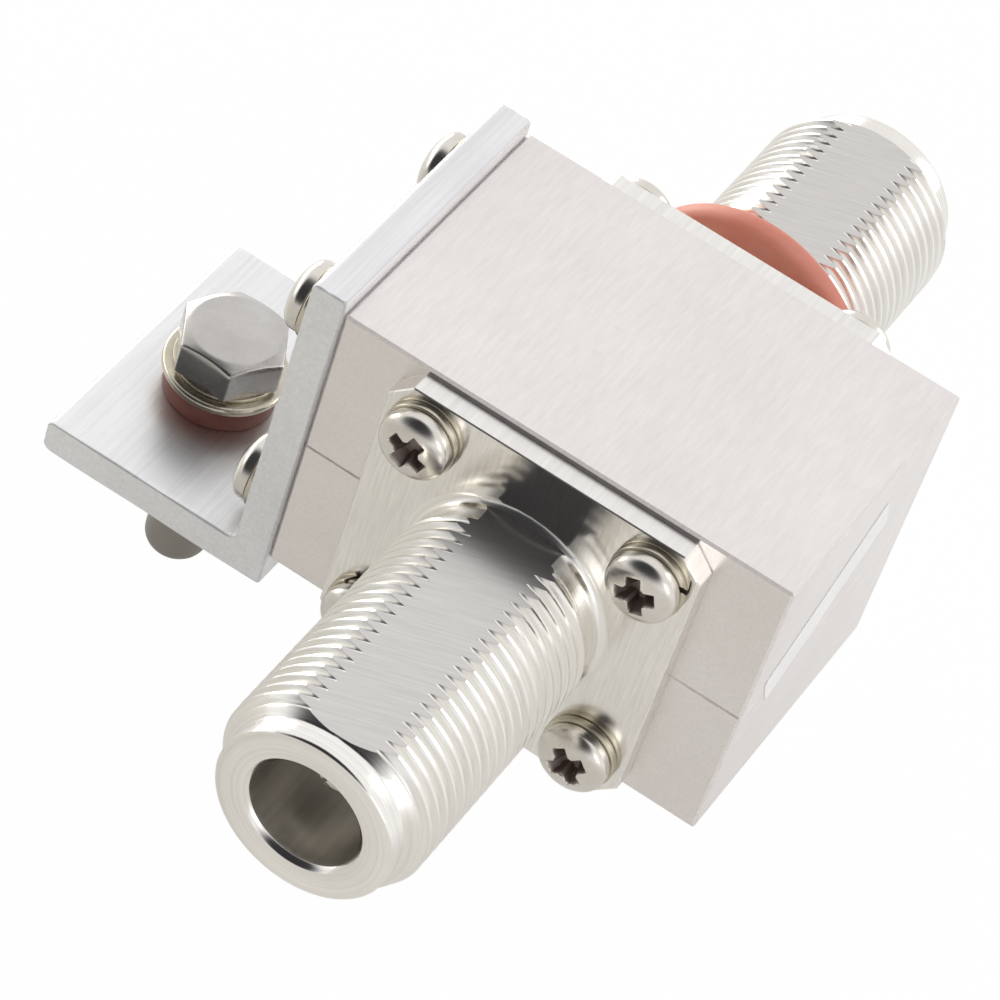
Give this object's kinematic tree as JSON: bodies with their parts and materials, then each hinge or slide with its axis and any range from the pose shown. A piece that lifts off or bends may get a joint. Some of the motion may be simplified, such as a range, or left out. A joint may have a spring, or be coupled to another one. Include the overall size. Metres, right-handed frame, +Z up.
{
  "type": "coax lightning arrestor",
  "caption": "Inline coaxial surge arrestor: plated two-part block with a threaded jack on each end, an angle ground bracket with a hex bolt, and a loose panel gasket.",
  "frame": {"origin": "on the coax axis, at the mating reference plane inside the rear port", "axes": "+Y along the coax axis and out of the rear port, +Z up from the plane in which the housing is parted, +X away from the ground bracket"},
  "size_m": [0.055, 0.0802, 0.0437],
  "materials": {
    "housing_plate": "satin nickel plate, fine brushed",
    "jack_plate": "bright nickel plate, turned",
    "screw_plate": "bright nickel plated steel",
    "washer_steel": "plated spring steel",
    "bolt_plate": "nickel plated steel",
    "pin_steel": "ground steel",
    "spring_steel": "spring steel",
    "bracket_aluminium": "brushed and deburred plate",
    "ptfe": "waxy white fluoropolymer",
    "contact_plate": "thin gold plate",
    "gasket_silicone": "matte moulded silicone",
    "red_fibre": "vulcanised fibre",
    "label_paper": "plain coated paper strip",
    "capacitor_body": "fired disc with metal faces",
    "gas_tube_ceramic": "ceramic tube with metal ends",
    "coil_wire": "bare copper wire"
  },
  "bodies": {
    "arrestor": {"upper_housing": "housing_plate", "lower_housing": "housing_plate", "alignment_pins": "pin_steel", "front_jack_shell": "jack_plate", "rear_jack_shell": "jack_plate", "front_insulator": "ptfe", "rear_insulator": "ptfe", "front_contact": "contact_plate", "rear_contact": "contact_plate", "front_flange_screws": "screw_plate", "rear_flange_screws": "screw_plate", "front_lock_washers": "washer_steel", "rear_lock_washers": "washer_steel", "panel_gasket": "gasket_silicone", "ground_bracket": "bracket_aluminium", "bracket_screws": "screw_plate", "bracket_lock_washers": "washer_steel", "ground_flat_washer": "washer_steel", "fibre_washer": "red_fibre", "side_label": "label_paper", "blocking_capacitor": "capacitor_body", "gas_tube": "gas_tube_ceramic", "gas_tube_spring": "spring_steel", "shunt_coil": "coil_wire", "coil_ground_screw": "pin_steel"},
    "lifting_washer": {"ground_lock_washer": "washer_steel"},
    "bolt": {"ground_bolt": "bolt_plate"}
  },
  "joints": [
    {"name": "bolt_lift", "type": "slide", "parent": "arrestor", "child": "lifting_washer", "axis": [0, 0, 1], "range_m": [0, 0.004]},
    {"name": "bolt_turn", "type": "hinge", "parent": "lifting_washer", "child": "bolt", "pos_m": [-0.02938, -0.03215, -0.00895], "axis": [0, 0, 1], "range_deg": [0, 1800]}
  ],
  "couplings": [
    {"joint": "bolt_turn", "follows": "bolt_lift", "rad_per_m": 7854}
  ]
}
